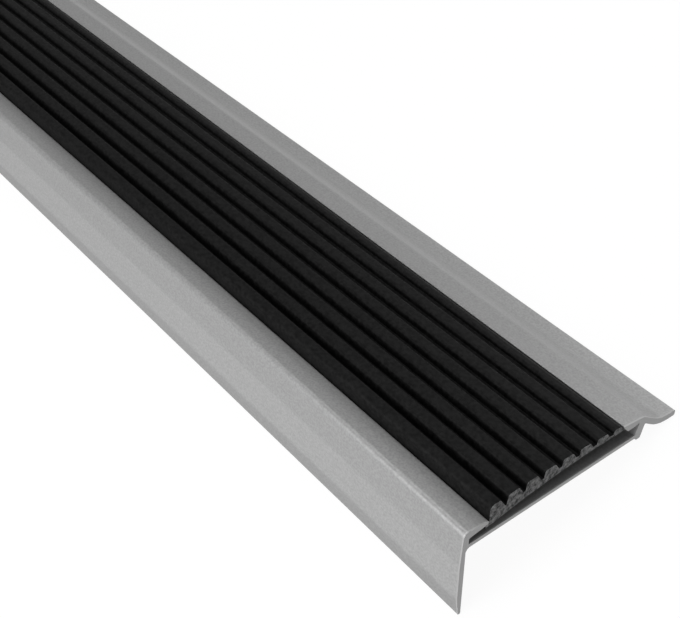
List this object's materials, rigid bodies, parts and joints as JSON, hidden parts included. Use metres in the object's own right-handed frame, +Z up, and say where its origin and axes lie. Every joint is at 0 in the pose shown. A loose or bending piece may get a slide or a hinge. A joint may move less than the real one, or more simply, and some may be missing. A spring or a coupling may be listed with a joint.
{
  "type": "stair nosing",
  "caption": "Aluminium stair edge profile with a front leg, a rear flange and a black ribbed soft insert clipped into its channel.",
  "frame": {"origin": "centre of the footprint, on the floor, with the piece lying as it rests unheld: on the tip of its leg and the rear edge of its flange", "axes": "+X along the length, +Y from the leg towards the flange, +Z up; the section is turned back by 17.6 degrees from the way it is fitted"},
  "size_m": [0.9, 0.0524, 0.02],
  "materials": {
    "aluminium": "satin",
    "black_pvc": "matte"
  },
  "bodies": {
    "root": {"aluminium_profile": "aluminium", "ribbed_insert": "black_pvc"}
  },
  "joints": []
}
